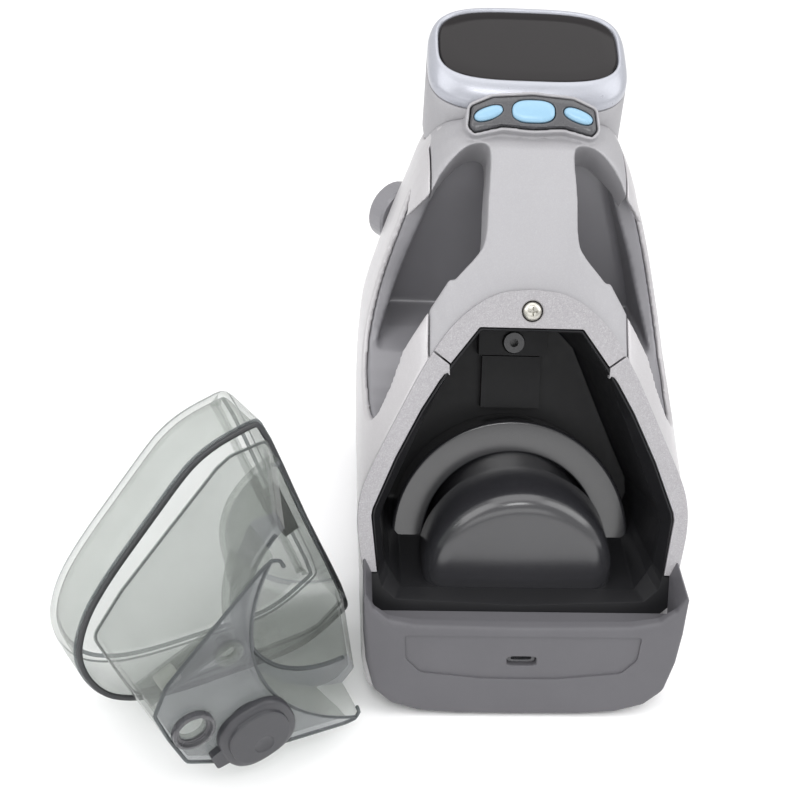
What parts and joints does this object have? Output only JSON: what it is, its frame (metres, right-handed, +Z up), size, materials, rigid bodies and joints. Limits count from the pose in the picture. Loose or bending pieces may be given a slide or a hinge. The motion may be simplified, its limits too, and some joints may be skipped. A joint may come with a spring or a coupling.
{
  "type": "wet dry floor scrubber",
  "caption": "Upright wet dry scrubber power unit with a grip, display pod and open tank bay, and its clear dirty-water tank lifted out beside it.",
  "frame": {"origin": "middle of the footprint of the unit and the tank beside it, on the floor", "axes": "+Z up, -Y the side the tank bay opens to, +X to the right seen from the front"},
  "size_m": [0.263, 0.2514, 0.2385],
  "materials": {
    "silver_plastic": "satin silver-grey paint",
    "shell_plastic": "satin light silver paint",
    "rim_silver": "fine metallic sparkle",
    "dark_plastic": "fine grained",
    "chin_plastic": "fine grained",
    "grey_plastic": "satin",
    "black_rubber": "matt",
    "lens": "high gloss",
    "button_blue": "satin, pale blue",
    "clear_smoke": "clear smoked plastic",
    "steel": "satin",
    "board_green": "solder resist",
    "battery_wrap": "shrink wrap",
    "float_white": "matt"
  },
  "bodies": {
    "housing": {"handle_cover": "silver_plastic", "grip_underside": "dark_plastic", "hand_well": "grey_plastic", "left_side_shell": "shell_plastic", "right_side_shell": "shell_plastic", "rear_cover": "shell_plastic", "display_bezel": "silver_plastic", "display_lens": "lens", "display_board": "board_green", "pod_shell": "silver_plastic", "button_panel": "grey_plastic", "button_board": "board_green", "rim_arch": "rim_silver", "rim_left": "rim_silver", "rim_right": "rim_silver", "rim_screw": "steel", "bay_bezel": "dark_plastic", "bay_liner": "dark_plastic", "motor_collar": "grey_plastic", "motor_dome": "grey_plastic", "suction_motor": "steel", "port_block": "dark_plastic", "port_nozzle": "dark_plastic", "duct_cover": "dark_plastic", "chin_bumper": "chin_plastic", "latch_slot_insert": "grey_plastic", "base_plate": "dark_plastic", "foot_front_left": "black_rubber", "foot_front_right": "black_rubber", "foot_rear_left": "black_rubber", "foot_rear_right": "black_rubber", "battery_pack": "battery_wrap", "control_board": "board_green", "water_pump": "grey_plastic", "hose_port": "grey_plastic"},
    "power_button": {"power_button": "button_blue"},
    "mode_button": {"mode_button": "button_blue"},
    "boost_button": {"boost_button": "button_blue"},
    "impeller": {"impeller": "grey_plastic"},
    "tank": {"tank_cover": "clear_smoke", "tank_gasket": "black_rubber", "tank_body": "clear_smoke", "tank_port_ring": "grey_plastic", "boss_screw": "clear_smoke", "float_tube": "clear_smoke", "tank_clip": "black_rubber"},
    "drain_cap": {"drain_cap": "grey_plastic"},
    "float": {"float_ball": "float_white"}
  },
  "joints": [
    {"name": "power_button_press", "type": "slide", "parent": "housing", "child": "power_button", "axis": [0, 0.6947, -0.7193], "range_m": [0, 0.0008], "stiffness_N_per_m": 2500},
    {"name": "mode_button_press", "type": "slide", "parent": "housing", "child": "mode_button", "axis": [0, 0.6947, -0.7193], "range_m": [0, 0.0008], "stiffness_N_per_m": 2500},
    {"name": "boost_button_press", "type": "slide", "parent": "housing", "child": "boost_button", "axis": [0, 0.6947, -0.7193], "range_m": [0, 0.0008], "stiffness_N_per_m": 2500},
    {"name": "impeller_spin", "type": "hinge", "parent": "housing", "child": "impeller", "pos_m": [0.06157, -0.00576, 0.04043], "axis": [0, -0.9903, 0.1392], "continuous": true},
    {"name": "tank_lift", "type": "slide", "parent": "housing", "child": "tank", "axis": [0, 0, 1], "range_m": [0, 0.26]},
    {"name": "drain_cap_turn", "type": "hinge", "parent": "tank", "child": "drain_cap", "pos_m": [-0.04744, -0.10822, 0.03284], "axis": [0.4583, -0.8882, 0.033], "range_deg": [0, 90]},
    {"name": "float_slide", "type": "slide", "parent": "tank", "child": "float", "axis": [-0.7832, -0.5283, -0.3278], "range_m": [-0.018, 0]}
  ]
}
